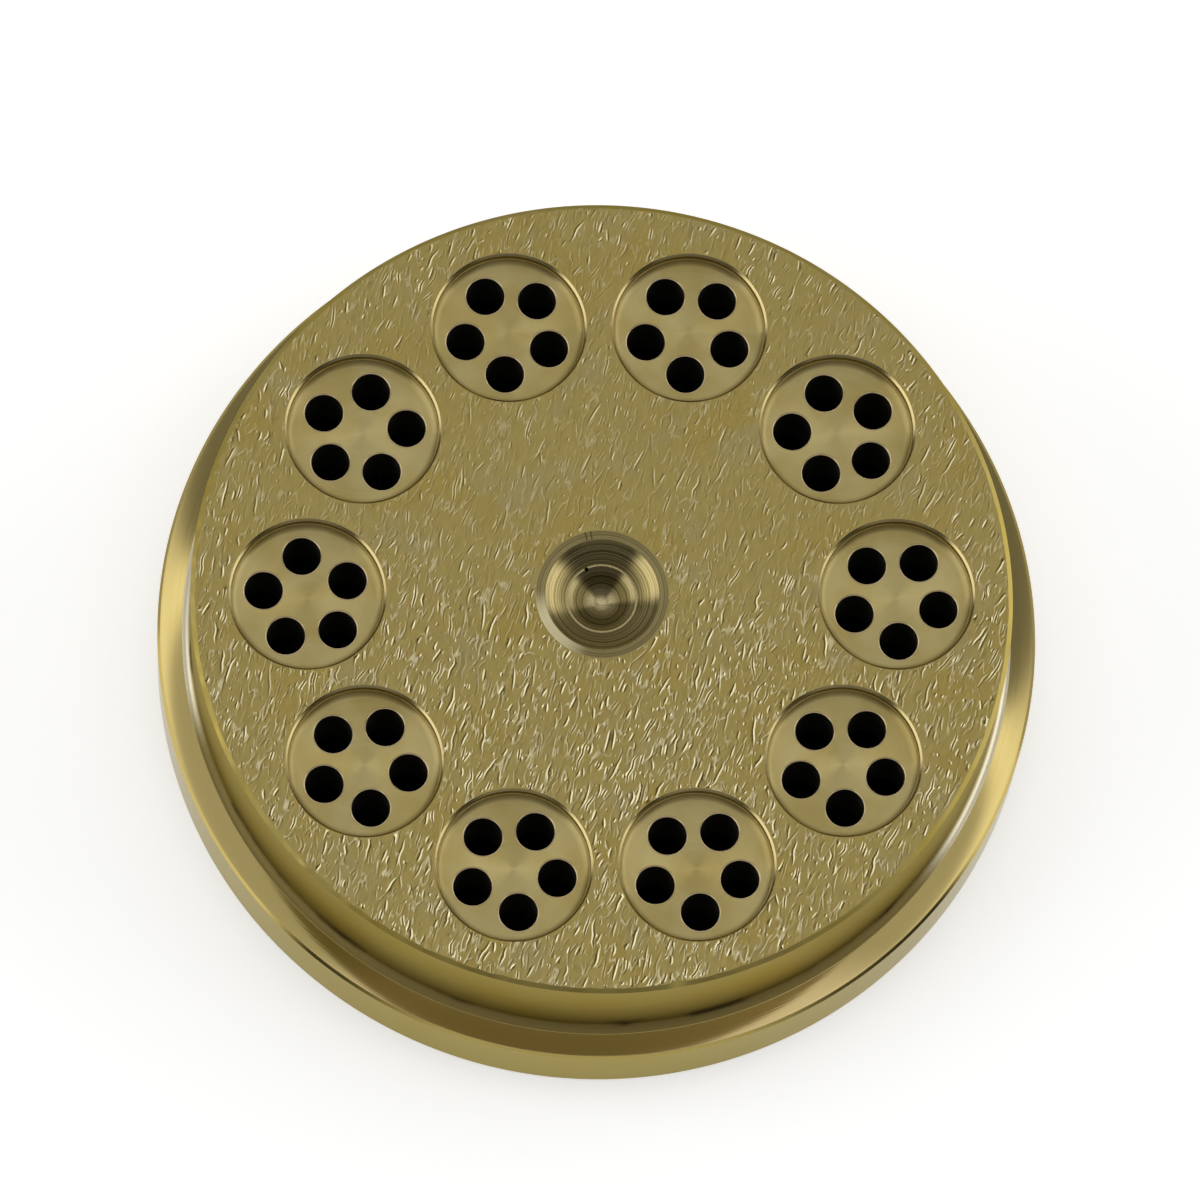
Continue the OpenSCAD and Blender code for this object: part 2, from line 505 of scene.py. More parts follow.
def centre_patch(patches):
    """The screw's centre: bevelled rim, spherical bowl, ledge, step and shallow cone."""
    reach = BOWL_TOP_R**2 + CENTRE_RIM_H**2 - BOWL_END_R**2 - BOWL_END_H**2
    rise = reach / (2 * (BOWL_END_H - CENTRE_RIM_H))
    bowl_r = math.hypot(BOWL_TOP_R, rise + CENTRE_RIM_H)
    start = -math.degrees(math.asin((rise + CENTRE_RIM_H) / bowl_r))
    end = -math.degrees(math.asin((rise + BOWL_END_H) / bowl_r))
    profile = [(CENTRE_R, FACE_Z)]
    profile += arc((0, FACE_Z + rise), bowl_r, start, end, BOWL_STEPS)
    profile += [(STEP_R, FACE_Z - BOWL_END_H), (FLOOR_R, FACE_Z - FLOOR_H)]
    profile += [(FLOOR_R * share, FACE_Z - CONE_H + (CONE_H - FLOOR_H) * share) for share in CONE_SHARES]
    patch = Patches()
    revolve(patch, profile, CENTRE_SEGMENTS, (0, 0), RIM_PLACE, CENTRE)
    u, v, radius = FACE_PLACE
    places = [(u + x * radius / SPIGOT_R, v + y * radius / SPIGOT_R) for x, y, _ in patch.points]
    patches.add(patch.points, patch.faces, places, CENTRE)


# In metres: points closer than the first are joined, and edges shorter than the second are dropped
WELD_GAP = 1e-6
LEAST_EDGE = 1e-8
# Edges sharper than this many degrees are shaded as edges
SHARP_ANGLE = 15


def weld(mesh):
    """Joins the patches along their common edges and turns every face outwards."""
    grown = bmesh.new()
    grown.from_mesh(mesh)
    bmesh.ops.remove_doubles(grown, verts=grown.verts, dist=WELD_GAP)
    bmesh.ops.dissolve_degenerate(grown, edges=grown.edges, dist=LEAST_EDGE)
    bmesh.ops.recalc_face_normals(grown, faces=grown.faces)
    grown.to_mesh(mesh)
    grown.free()


def make_body():
    """The whole body as one closed mesh, with the scores lifted out of its face."""
    patches = Patches()
    face_patch(patches)
    rim_patch(patches)
    base_patch(patches)
    seat_patches(patches)
    centre_patch(patches)
    mesh = bpy.data.meshes.new("scored_body")
    mesh.from_pydata((np.array(patches.points) * MM).tolist(), [], patches.faces)
    mesh.polygons.foreach_set("material_index", patches.slots)
    mesh.attributes.new("lift", "FLOAT", "POINT").data.foreach_set("value", patches.lifts)
    mesh.attributes.new("tone", "FLOAT", "POINT").data.foreach_set("value", patches.painted_lights)
    corner_points = np.zeros(len(mesh.loops), int)
    mesh.loops.foreach_get("vertex_index", corner_points)
    places = np.array(patches.places)[corner_points]
    mesh.uv_layers.new(name="OFBake").data.foreach_set("uv", places.ravel())
    weld(mesh)
    mesh.shade_smooth()
    mesh.set_sharp_from_angle(angle=math.radians(SHARP_ANGLE))
    lift_scores(mesh)
    body = bpy.data.objects.new("scored_body", mesh)
    bpy.context.collection.objects.link(body)
    return body


def lift_scores(mesh):
    """Raises and sinks each point of the face by its lift."""
    count = len(mesh.vertices)
    points = np.zeros(count * 3)
    lifts = np.zeros(count)
    mesh.vertices.foreach_get("co", points)
    mesh.attributes["lift"].data.foreach_get("value", lifts)
    points[2::3] += lifts * MM
    mesh.vertices.foreach_set("co", points)
    mesh.update()


def add(tree, kind, inputs=None, **settings):
    """Adds a node, sets it up and joins or fills its inputs."""
    node = tree.nodes.new(kind)
    for name, value in settings.items():
        setattr(node, name, value)
    for socket, value in (inputs or {}).items():
        if isinstance(value, bpy.types.NodeSocket):
            tree.links.new(value, node.inputs[socket])
        else:
            node.inputs[socket].default_value = value
    return node


def math_node(tree, operation, *values):
    return add(tree, "ShaderNodeMath", dict(enumerate(values)), operation=operation).outputs[0]


def multiply(tree, first, second):
    return math_node(tree, "MULTIPLY", first, second)


def plus(tree, first, second):
    return math_node(tree, "ADD", first, second)


def vector_node(tree, operation, *values):
    return add(tree, "ShaderNodeVectorMath", dict(enumerate(values)), operation=operation)


def separate(tree, vector):
    return add(tree, "ShaderNodeSeparateXYZ", {0: vector}).outputs


def mix_colour(tree, share, low, high):
    """Colour that goes from low to high as share goes from 0 to 1."""
    node = add(tree, "ShaderNodeMix", {"Factor": share}, data_type="RGBA")
    for socket, value in ((node.inputs[6], low), (node.inputs[7], high)):
        if isinstance(value, bpy.types.NodeSocket):
            tree.links.new(value, socket)
        else:
            socket.default_value = (*value, 1)
    return node.outputs[2]


def map_range(tree, value, low, high, to_low=0.0, to_high=1.0, kind="SMOOTHSTEP"):
    """Goes from to_low at low to to_high at high."""
    sockets = {"Value": value, "From Min": low, "From Max": high, "To Min": to_low, "To Max": to_high}
    return add(tree, "ShaderNodeMapRange", sockets, interpolation_type=kind).outputs[0]


def band(tree, value, rise, fall):
    """1 where a value lies between the two ranges in which it comes in and goes out."""
    return multiply(tree, map_range(tree, value, *rise), map_range(tree, value, *fall))


def noise(tree, vector, scale, detail=2.0, roughness=0.5):
    sockets = {"Vector": vector, "Scale": scale, "Detail": detail, "Roughness": roughness}
    return add(tree, "ShaderNodeTexNoise", sockets).outputs["Fac"]


def heading(degrees):
    """Flat direction at a turn from +X."""
    turn = math.radians(degrees)
    return math.cos(turn), math.sin(turn), 0


def along_heading(tree, place, direction):
    """How far a place lies along a direction."""
    return vector_node(tree, "DOT_PRODUCT", place, direction).outputs["Value"]


def axis_distance(tree, vector):
    """Distance from the upright axis through the vector's origin."""
    return vector_node(tree, "LENGTH", flattened(tree, vector)).outputs["Value"]


def flattened(tree, vector):
    return vector_node(tree, "MULTIPLY", vector, (1, 1, 0)).outputs[0]


def millimetres(tree):
    """Place on the object in millimetres."""
    place = add(tree, "ShaderNodeTexCoord").outputs["Object"]
    return add(tree, "ShaderNodeVectorMath", {0: place, "Scale": 1 / MM}, operation="SCALE").outputs[0]


def turned_rings(tree, vector, scale):
    """Noise that follows the rings of a lathe: it varies with radius and height only."""
    height = separate(tree, vector)[2]
    ring = add(tree, "ShaderNodeCombineXYZ", {0: axis_distance(tree, vector), 1: height}).outputs[0]
    return noise(tree, ring, scale, 3, 0.6)


def new_material(name):
    material = bpy.data.materials.new(name)
    material.use_nodes = True
    tree = material.node_tree
    return material, tree, tree.nodes["Principled BSDF"]


# Tint of the metal at a grazing view, which keeps steep walls as yellow as the rest
EDGE_TINT = (0.73, 0.68, 0.47, 1)
# Share of a full turn that lays stretched highlights across the rings
ACROSS_RINGS = 0.25
# Part of a noise's range over which the roughness goes from its lowest to its highest
GRAIN_RANGE = (0.3, 0.7)


def grain_roughness(tree, grain, limits):
    """Roughness that follows a noise between two limits."""
    return map_range(tree, grain, *GRAIN_RANGE, *limits)


def brass_shader(tree, shader, colour, roughness, normal, stretch=0.0):
    """Fills a metal shader from the nodes that give its colour, roughness and normal."""
    shader.inputs["Metallic"].default_value = 1.0
    shader.inputs["Specular Tint"].default_value = EDGE_TINT
    for socket, value in (("Base Color", colour), ("Roughness", roughness), ("Normal", normal)):
        tree.links.new(value, shader.inputs[socket])
    if stretch:
        shader.inputs["Anisotropic"].default_value = stretch
        shader.inputs["Anisotropic Rotation"].default_value = ACROSS_RINGS
        tangent = add(tree, "ShaderNodeTangent", direction_type="RADIAL", axis="Z")
        tree.links.new(tangent.outputs[0], shader.inputs["Tangent"])


def bump(tree, height, depth):
    """A bump whose height of 0 to 1 stands for depth millimetres."""
    return add(tree, "ShaderNodeBump", {"Height": height, "Distance": depth * MM}).outputs[0]


# Colours that several materials share
# Painted highlight for the crests of the scores and for a bright spot on the centre's ring
HIGHLIGHT_CREAM = (0.98, 0.89, 0.57)
# Painted shade for the grooves of the scores, and the colour of the scratches on the centre's ring
SHADE_AND_SCRATCH_DARK = (0.085, 0.060, 0.015)
WALL_BRASS = (0.365, 0.288, 0.086)
WALL_YELLOW = (0.355, 0.270, 0.060)
# Black that stands for painted shade in the bores and feed holes and painted shadow under the die, and the
# colour of a speck in the centre
SHADE_AND_SPECK_BLACK = (0.0008, 0.0008, 0.0022)

# Feed face: its colours, the noise of its yellow and grey patches, and where in that noise they come in
OLIVE_BRASS = (0.292, 0.228, 0.076)
YELLOW_BRASS = (0.287, 0.218, 0.062)
GREY_BRASS = (0.287, 0.234, 0.096)
YELLOW_SCALE = 0.16
YELLOW_FROM = (0.45, 0.68)
GREY_SCALE = 0.2
GREY_FROM = (0.5, 0.72)
GREY_SHIFT = (40, 17, 0)
# Painted light of the modelled scores over which crests take a painted highlight and grooves painted shade
CREST_HIGHLIGHT_TONES = (0.1, 0.86)
GROOVE_SHADE_TONES = (0.05, 1.0)
# Fine scores between the modelled ones: size of their waves, and how far a groove, with its line of painted
# shade, lies from its crest and its painted highlight
FINE_WAVE = (0.95, 3.6, 1.0)
FINE_GROOVE = 0.13
FINE_WIDTH = 0.034
# Scale of the patches in which they show, where in its noise, and how much along Y
FINE_SCALE = 0.8
FINE_FROM = (0.4, 0.62)
FINE_FRONT = (12, -10, 0.45, 1.0)
# How strongly their grooves take painted shade and their crests a painted highlight
FINE_SHADE = 0.6
FINE_HIGHLIGHT = 0.42
# Grain between the scores, and the finish
GRAIN_SIZE = (0.33, 1.25, 1.0)
FACE_ROUGH = (0.36, 0.5)
FACE_BUMP = 0.02


def stretched(tree, place, scale, shift=0.0):
    """Place stretched along the lean of the scores and moved sideways by shift millimetres."""
    across = heading(STROKE_LEAN - 90)
    aside = (shift * across[0], shift * across[1], 0)
    turn = (0, 0, math.radians(STROKE_LEAN - 90))
    sockets = {"Vector": place, "Location": aside, "Rotation": turn, "Scale": scale}
    return add(tree, "ShaderNodeMapping", sockets, vector_type="TEXTURE").outputs[0]


def fine_line(tree, place, shift):
    """1 along thin wavy lines that lean as the scores do, moved sideways by shift millimetres."""
    wave = noise(tree, stretched(tree, place, FINE_WAVE, shift), 1.0, 1.5)
    away = math_node(tree, "ABSOLUTE", math_node(tree, "SUBTRACT", wave, 0.5))
    return map_range(tree, away, FINE_WIDTH, 0.0)


def fine_share(tree, place):
    """Where the fine scores show: in patches, and more strongly towards the front."""
    front = map_range(tree, separate(tree, place)[1], *FINE_FRONT)
    return multiply(tree, map_range(tree, noise(tree, place, FINE_SCALE, 2), *FINE_FROM), front)


def scored_material():
    """Satin brass in olive, yellow and grey patches, with painted highlights on the crests and painted shade
    in the grooves along the scores.
    """
    material, tree, shader = new_material("scored_brass")
    place = millimetres(tree)
    yellow = map_range(tree, noise(tree, place, YELLOW_SCALE, 3), *YELLOW_FROM)
    colour = mix_colour(tree, yellow, OLIVE_BRASS, YELLOW_BRASS)
    shifted = vector_node(tree, "ADD", place, GREY_SHIFT).outputs[0]
    grey = map_range(tree, noise(tree, shifted, GREY_SCALE, 3), *GREY_FROM)
    colour = mix_colour(tree, grey, colour, GREY_BRASS)
    tone = add(tree, "ShaderNodeAttribute", attribute_name="tone").outputs["Fac"]
    share = fine_share(tree, place)
    crest = multiply(tree, fine_line(tree, place, 0), share)
    hollow = multiply(tree, fine_line(tree, place, FINE_GROOVE), share)
    # Painted shade along the fine grooves and a painted highlight along the fine crests
    colour = mix_colour(tree, multiply(tree, hollow, FINE_SHADE), colour, SHADE_AND_SCRATCH_DARK)
    colour = mix_colour(tree, multiply(tree, crest, FINE_HIGHLIGHT), colour, HIGHLIGHT_CREAM)
    # The modelled scores: painted highlight on their crests, painted shade in their grooves
    colour = mix_colour(tree, map_range(tree, tone, *CREST_HIGHLIGHT_TONES), colour, HIGHLIGHT_CREAM)
    groove_shade = map_range(tree, multiply(tree, tone, -1.0), *GROOVE_SHADE_TONES, kind="LINEAR")
    colour = mix_colour(tree, groove_shade, colour, SHADE_AND_SCRATCH_DARK)
    grain = noise(tree, stretched(tree, place, GRAIN_SIZE), 1.0, 3, 0.6)
    height = plus(tree, grain, math_node(tree, "SUBTRACT", crest, hollow))
    roughness = grain_roughness(tree, grain, FACE_ROUGH)
    brass_shader(tree, shader, colour, roughness, bump(tree, height, FACE_BUMP))
    return material


# Screw's centre: colours of its ring, bowl, step and point, dark and bright along the rings of the lathe;
# the point's dark colours are painted shade in the bottom of the hollow
RING_BRASS = (0.31, 0.26, 0.12)
RING_DARK = (0.15, 0.12, 0.05)
BOWL_BRASS = (0.43, 0.36, 0.185)
BOWL_DARK = (0.20, 0.152, 0.045)
STEP_BRASS = (0.27, 0.22, 0.105)
SHADED_POINT_BRASS = (0.165, 0.132, 0.052)
SHADED_POINT_DARK = (0.062, 0.047, 0.016)
TIP_BRASS = (0.36, 0.30, 0.16)
# Scale of those rings, and where in their noise the bowl, the ring and the point turn bright
CENTRE_RINGS = 9.0
BOWL_RINGS = (0.35, 0.65)
FINE_RINGS = (0.4, 0.6)
# Radii over which the ring comes in, the bowl darkens with painted shade, the step shows, the point begins
# and its tip brightens, and how much painted shade the bowl takes
RING_FADE = (BOWL_TOP_R - 0.06, BOWL_TOP_R + 0.06)
BOWL_SHADE_FADE = (4.7, BOWL_END_R)
BOWL_SHADE = 0.66
STEP_RISE = (FLOOR_R, FLOOR_R + 0.1)
STEP_FALL = (BOWL_END_R + 0.1, BOWL_END_R)
POINT_FADE = (BOWL_END_R + 0.05, BOWL_END_R)
TIP_FADE = (1.9, 0.5)
# Two scratches across the ring, as turns from +X, where they fade across and along, and a dark speck inside
RING_SCRATCHES = (104.5, 99.5)
SCRATCH_SIDE = (0.09, 0.03)
SCRATCH_START = (BOWL_TOP_R, CENTRE_R - 0.7)
SPECK_PLACE = (-1.35, 2.75, 0)
SPECK_FADE = (0.24, 0.12)
# Turn from +X of the ring's painted highlight, how near to that turn, and how far
RING_HIGHLIGHT_TURN = 216
RING_HIGHLIGHT_FADE = (0.75, 1.0, 0.0, 0.45)
# Finish: the ring is rougher than the rest
CENTRE_ROUGH = (0.24, 0.32)
RING_ROUGH = 0.2
CENTRE_BUMP = 0.005
CENTRE_STRETCH = 0.7


def ring_scratch(tree, place, degrees):
    """1 on a thin line that runs out from the axis at the given turn."""
    across = along_heading(tree, place, heading(degrees + 90))
    along = along_heading(tree, place, heading(degrees))
    line = map_range(tree, math_node(tree, "ABSOLUTE", across), *SCRATCH_SIDE)
    return multiply(tree, line, map_range(tree, along, *SCRATCH_START))


def ring_highlight(tree, place, radius):
    """How much painted highlight the ring takes: most where it faces the lower left."""
    along = along_heading(tree, place, heading(RING_HIGHLIGHT_TURN))
    return map_range(tree, math_node(tree, "DIVIDE", along, radius), *RING_HIGHLIGHT_FADE)


def centre_colour(tree, place, rings, radius, ring):
    """Colour of the screw's centre: bowl, point, step and ring, without its marks."""
    colour = mix_colour(tree, map_range(tree, rings, *BOWL_RINGS), BOWL_DARK, BOWL_BRASS)
    # Painted shade darkens the inner bowl and the point
    colour = mix_colour(tree, map_range(tree, radius, *BOWL_SHADE_FADE, 0.0, BOWL_SHADE), colour, SHADED_POINT_DARK)
    point = mix_colour(tree, map_range(tree, rings, *FINE_RINGS), SHADED_POINT_DARK, SHADED_POINT_BRASS)
    point = mix_colour(tree, map_range(tree, radius, *TIP_FADE), point, TIP_BRASS)
    colour = mix_colour(tree, map_range(tree, radius, *POINT_FADE), colour, point)
    colour = mix_colour(tree, band(tree, radius, STEP_RISE, STEP_FALL), colour, STEP_BRASS)
    lines = mix_colour(tree, map_range(tree, rings, *FINE_RINGS), RING_DARK, RING_BRASS)
    colour = mix_colour(tree, ring, colour, lines)
    # Painted highlight on the ring at its lower left
    highlight = multiply(tree, ring, ring_highlight(tree, place, radius))
    return mix_colour(tree, highlight, colour, HIGHLIGHT_CREAM)


def centre_material():
    """Turned hollow: a grey satin ring with a painted highlight, round a bowl with glossy rings and painted
    shade towards its point, two scratches and a speck.
    """
    material, tree, shader = new_material("centre_brass")
    place = millimetres(tree)
    rings = turned_rings(tree, place, CENTRE_RINGS)
    radius = axis_distance(tree, place)
    ring = map_range(tree, radius, *RING_FADE)
    colour = centre_colour(tree, place, rings, radius, ring)
    for degrees in RING_SCRATCHES:
        colour = mix_colour(tree, ring_scratch(tree, place, degrees), colour, SHADE_AND_SCRATCH_DARK)
    away = vector_node(tree, "DISTANCE", flattened(tree, place), SPECK_PLACE).outputs["Value"]
    colour = mix_colour(tree, map_range(tree, away, *SPECK_FADE), colour, SHADE_AND_SPECK_BLACK)
    rough = plus(tree, grain_roughness(tree, rings, CENTRE_ROUGH), multiply(tree, ring, RING_ROUGH))
    brass_shader(tree, shader, colour, rough, bump(tree, rings, CENTRE_BUMP), CENTRE_STRETCH)
    return material


# Rim: colours of the shoulder, the root and the flange's upper edge, each with another one towards the
# front. The root's own pale colour is a painted highlight and its front one painted shade; the shoulder and
# flange edge are painted lighter at the front
SHOULDER_BRASS = (0.25, 0.197, 0.074)
SHOULDER_FRONT_PAINTED_LIGHT = (0.42, 0.33, 0.15)
ROOT_HIGHLIGHT = (0.56, 0.51, 0.37)
ROOT_FRONT_SHADE = (0.27, 0.21, 0.075)
FLANGE_EDGE_BRASS = (0.28, 0.215, 0.065)
FLANGE_EDGE_FRONT_HIGHLIGHT = (0.62, 0.48, 0.14)
FOOT_DARK = (0.10, 0.07, 0.03)
# The rim's brass is a little dull, so that it is not all mirror
RIM_METAL = 0.9
# Noise of the wall's second colour and of the darker patches at its foot, and where in that noise they show
WALL_SCALE = 0.12
WALL_FROM = (0.4, 0.7)
FOOT_SCALE = 0.16
FOOT_FROM = (0.5, 0.66)
# Where the root turns to painted shade at the front and from painted highlight to plain at the back, along Y
# and a little of X
ROOT_FRONT = (-12, -19)
ROOT_BACK = (5, 13)
ROOT_SKEW = (0.2, 1, 0)
# Where the shoulder and the flange's edge change towards the front, along Y, to painted light
SHOULDER_FRONT = (-29, -35)
# Radii over which the root passes into the shoulder, and heights at which the zones come in and go out
ROOT_INNER = (SPIGOT_R + ROOT_R, SPIGOT_R + ROOT_R - 0.12)
ROOT_TOP = (SHOULDER_Z + ROOT_R, SHOULDER_Z + 0.4)
FLAT_RISE = (SHOULDER_Z - 0.04, SHOULDER_Z - 0.02)
FLANGE_EDGE_RISE = (SHOULDER_Z - FLANGE_CHAMFER - 0.02, SHOULDER_Z - FLANGE_CHAMFER)
FLANGE_EDGE_FALL = (SHOULDER_Z - 0.02, SHOULDER_Z - 0.04)
FOOT_RISE = (SHOULDER_Z + 0.2, SHOULDER_Z + 0.6)
FOOT_FALL = (SHOULDER_Z + 2.6, SHOULDER_Z + 0.8)
FLANGE_TOP = (SHOULDER_Z - 0.1, SHOULDER_Z - 0.5)
# Finish: a polished shoulder, and roughness added on the wall, on the flange and in the root's front
RIM_RINGS = 5.0
RIM_ROUGH = (0.045, 0.07)
WALL_ROUGH = 0.31
FLANGE_ROUGH = 0.08
ROOT_ROUGH = 0.35
RIM_BUMP = 0.001


def rim_material():
    """Turned brass round the outside: a polished shoulder, satin walls, a root painted with highlight and
    shade, darker patches at the wall's foot, and a front painted lighter.
    """
    material, tree, shader = new_material("turned_brass")
    place = millimetres(tree)
    rings = turned_rings(tree, place, RIM_RINGS)
    _, depth, height = separate(tree, place)
    inner = map_range(tree, axis_distance(tree, place), *ROOT_INNER)
    root = multiply(tree, inner, map_range(tree, height, *ROOT_TOP))
    flat = multiply(tree, map_range(tree, height, *FLAT_RISE), map_range(tree, inner, 1.0, 0.0))
    along = along_heading(tree, place, ROOT_SKEW)
    front = map_range(tree, along, *ROOT_FRONT)
    painted_front = map_range(tree, depth, *SHOULDER_FRONT)
    yellow = map_range(tree, noise(tree, place, WALL_SCALE, 3), *WALL_FROM)
    colour = mix_colour(tree, yellow, WALL_BRASS, WALL_YELLOW)
    # Painted light: the front of the shoulder and of the flange's edge painted lighter, the root a painted
    # highlight that turns to painted shade at the front
    colour = mix_colour(tree, flat, colour, mix_colour(tree, painted_front, SHOULDER_BRASS, SHOULDER_FRONT_PAINTED_LIGHT))
    root_highlight = mix_colour(tree, map_range(tree, along, *ROOT_BACK), ROOT_HIGHLIGHT, WALL_BRASS)
    colour = mix_colour(tree, root, colour, mix_colour(tree, front, root_highlight, ROOT_FRONT_SHADE))
    edge = band(tree, height, FLANGE_EDGE_RISE, FLANGE_EDGE_FALL)
    colour = mix_colour(tree, edge, colour, mix_colour(tree, painted_front, FLANGE_EDGE_BRASS, FLANGE_EDGE_FRONT_HIGHLIGHT))
    # Darker in patches at the foot of the wall, just above the root
    foot_patches = map_range(tree, noise(tree, place, FOOT_SCALE, 3), *FOOT_FROM)
    foot_dark_share = multiply(tree, foot_patches, band(tree, height, FOOT_RISE, FOOT_FALL))
    colour = mix_colour(tree, foot_dark_share, colour, FOOT_DARK)
    below = map_range(tree, height, *FLANGE_TOP)
    satin = plus(tree, multiply(tree, inner, WALL_ROUGH), multiply(tree, below, FLANGE_ROUGH))
    satin = plus(tree, satin, multiply(tree, multiply(tree, root, front), ROOT_ROUGH))
    rough = plus(tree, satin, grain_roughness(tree, rings, RIM_ROUGH))
    brass_shader(tree, shader, colour, rough, bump(tree, rings, RIM_BUMP))
    shader.inputs["Metallic"].default_value = RIM_METAL
    return material


# Seats: colour of the chamfered mouth, heights that light reaches from above and from below, and finish
PALE_BRASS = (0.40, 0.325, 0.15)
MOUTH_RISE = (FACE_Z - MOUTH_CHAMFER - 0.04, FACE_Z - MOUTH_CHAMFER)
SEAT_LIT = (CORE_TOP_Z - 1.2, CORE_TOP_Z - 0.6)
OUTLET_LIT = (2.4, 0.6)
SEAT_RINGS = 6
SEAT_ROUGH = (0.2, 0.3)
SEAT_BUMP = 0.004


def seat_material():
    """Bored brass, dark below the cores where no light comes."""
    material, tree, shader = new_material("seat_brass")
    height = separate(tree, millimetres(tree))[2]
    rings = noise(tree, add(tree, "ShaderNodeCombineXYZ", {2: height}).outputs[0], SEAT_RINGS, 3)
    colour = mix_colour(tree, rings, WALL_YELLOW, WALL_BRASS)
    colour = mix_colour(tree, map_range(tree, height, *MOUTH_RISE), colour, PALE_BRASS)
    above = map_range(tree, height, *SEAT_LIT)
    below = map_range(tree, height, *OUTLET_LIT)
    shown = math_node(tree, "MAXIMUM", above, below)
    colour = mix_colour(tree, shown, SHADE_AND_SPECK_BLACK, colour)
    rough = grain_roughness(tree, rings, SEAT_ROUGH)
    brass_shader(tree, shader, colour, rough, bump(tree, rings, SEAT_BUMP))
    tree.links.new(shown, shader.inputs["Metallic"])
    return material


# Cores: their colours, with painted highlights as pale rims round the feed holes, and where the second
# colour shows in its noise
CORE_BRASS = (0.42, 0.345, 0.15)
CORE_YELLOW = (0.37, 0.29, 0.105)
HOLE_EDGE_HIGHLIGHT = (0.75, 0.60, 0.36)
CORE_SCALE = 0.25
CORE_FROM = (0.35, 0.7)
# Heights of those rims, height below which the feed holes are painted black as shade, and radii outside
# which nothing is
HOLE_EDGE = (CORE_TOP_Z - 0.01, CORE_TOP_Z - 0.03)
HOLE_LIT = (CORE_TOP_Z - 0.16, CORE_TOP_Z - 0.1)
CORE_OUTSIDE = (CORE_R - 0.9, CORE_R - 0.7)
# Finish, and how metallic the rims of the holes are
CORE_RINGS = 5.0
CORE_ROUGH = (0.36, 0.46)
CORE_BUMP = 0.005
CORE_STRETCH = 0.92
HOLE_EDGE_METAL = 0.4


def core_place(tree):
    """Place on a core in millimetres, from the foot of its own axis."""
    share = add(tree, "ShaderNodeTexCoord").outputs["Generated"]
    middle = vector_node(tree, "SUBTRACT", share, (0.5, 0.5, 0)).outputs[0]
    return vector_node(tree, "MULTIPLY", middle, (2 * CORE_R, 2 * CORE_R, CORE_HIGH.z)).outputs[0]


def core_material():
    """Turned brass with rings round the core's own axis; its feed holes are painted black inside as shade,
    with painted highlights round their rims.
    """
    material, tree, shader = new_material("core_brass")
    local = core_place(tree)
    rings = turned_rings(tree, local, CORE_RINGS)
    yellow = map_range(tree, noise(tree, millimetres(tree), CORE_SCALE, 2), *CORE_FROM)
    colour = mix_colour(tree, yellow, CORE_BRASS, CORE_YELLOW)
    height = separate(tree, local)[2]
    # Pale rims round the feed holes are a painted highlight; below them the holes are painted black as shade
    edge = map_range(tree, height, *HOLE_EDGE)
    colour = mix_colour(tree, edge, colour, HOLE_EDGE_HIGHLIGHT)
    above = map_range(tree, height, *HOLE_LIT)
    below = map_range(tree, height, *OUTLET_LIT)
    outside = map_range(tree, axis_distance(tree, local), *CORE_OUTSIDE)
    shown = math_node(tree, "MAXIMUM", math_node(tree, "MAXIMUM", above, below), outside)
    colour = mix_colour(tree, shown, SHADE_AND_SPECK_BLACK, colour)
    rough = grain_roughness(tree, rings, CORE_ROUGH)
    brass_shader(tree, shader, colour, rough, bump(tree, rings, CORE_BUMP), CORE_STRETCH)
    metal = multiply(tree, shown, map_range(tree, edge, 0.0, 1.0, 1.0, HOLE_EDGE_METAL))
    tree.links.new(metal, shader.inputs["Metallic"])
    return material


def paint(body):
    """Gives the body and the cores their materials."""
    materials = [None] * 4
    materials[SCORED] = scored_material()
    materials[TURNED] = rim_material()
    materials[SEAT] = seat_material()
    materials[CENTRE] = centre_material()
    for material in materials:
        body.data.materials.append(material)
    core = core_material()
    for name in core_names:
        for slot in frame["nodes"][name].material_slots:
            slot.material = core


# Camera: height over the horizon, turn and tilt in degrees, and distance from the middle of the face
CAMERA_ELEVATION = 73.17
CAMERA_AZIMUTH = -8.19
CAMERA_ROLL = 7.86
CAMERA_DISTANCE = 891.7
CAMERA_LENS = 297.6
# How far the middle of the picture lies from the middle of the face, to the right and up
CAMERA_OFFSET = (-0.21, -0.54)


def make_camera():
    """Looks down at the feed face from the photograph's angle."""
    rise = math.radians(CAMERA_ELEVATION)
    turn = math.radians(CAMERA_AZIMUTH)
    back = Vector((math.sin(turn) * math.cos(rise), -math.cos(turn) * math.cos(rise), math.sin(rise)))
    right = Vector((0, 0, 1)).cross(back).normalized()
    axes = Matrix((right, back.cross(right), back)).transposed()
    axes = axes @ Matrix.Rotation(math.radians(CAMERA_ROLL), 3, "Z")
    place = Vector((0, 0, FACE_Z)) + back * CAMERA_DISTANCE
    place += axes.col[0] * CAMERA_OFFSET[0] + axes.col[1] * CAMERA_OFFSET[1]
    data = bpy.data.cameras.new("camera")
    data.lens = CAMERA_LENS
    camera = bpy.data.objects.new("camera", data)
    camera.matrix_world = Matrix.Translation(place * MM) @ axes.to_4x4()
    bpy.context.collection.objects.link(camera)
    bpy.context.scene.camera = camera


# Floor: half its width in metres, how far it lies under the die in millimetres, colour, and glow
FLOOR_HALF = 3.0
FLOOR_DROP = 0.02
FLOOR_COLOUR = (0.8, 0.8, 0.8)
FLOOR_GLOW = 0.42
# Radii over which the floor turns dark under the die, a painted shadow
FLOOR_OPEN = (FLANGE_R - 2, FLANGE_R)


